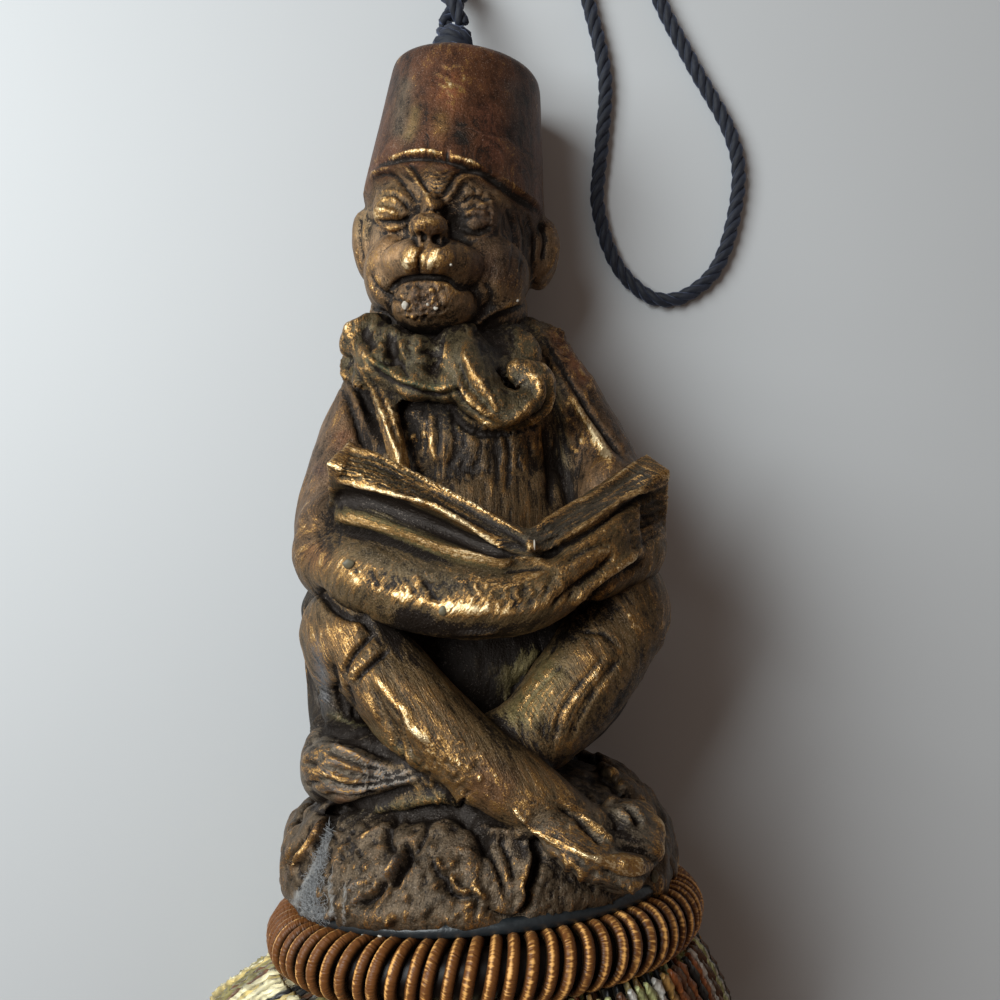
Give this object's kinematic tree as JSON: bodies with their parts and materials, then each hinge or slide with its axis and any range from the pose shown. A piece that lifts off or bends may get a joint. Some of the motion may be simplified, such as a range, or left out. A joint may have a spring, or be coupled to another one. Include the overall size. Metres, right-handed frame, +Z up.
{
  "type": "curtain tieback tassel",
  "caption": "Curtain tieback tassel with a cast seated monkey head, a wound gimp ring, a bullion fringe skirt and a twisted hanging cord, lying on its back.",
  "frame": {"origin": "on the surface it lies on, under the middle of the object without its cord", "axes": "+Z up off the surface, +Y along the tassel from the skirt to the hat, +X to the figure's left hand side as the viewer sees it on the right"},
  "size_m": [0.0954, 0.2977, 0.0615],
  "materials": {
    "gilt_resin": "cast resin, dark brown with rubbed antique gold on raised parts",
    "satin_gimp": "wound satin thread, copper brown",
    "fringe_yarn": "two-ply bullion yarns in cream, gold, brown, rust and black",
    "black_cord": "twisted matt black cord"
  },
  "bodies": {
    "root": {"cast_figure": "gilt_resin", "gimp_ring": "satin_gimp", "fringe_skirt": "fringe_yarn", "top_knot": "black_cord", "hanging_loop": "black_cord"}
  },
  "joints": []
}
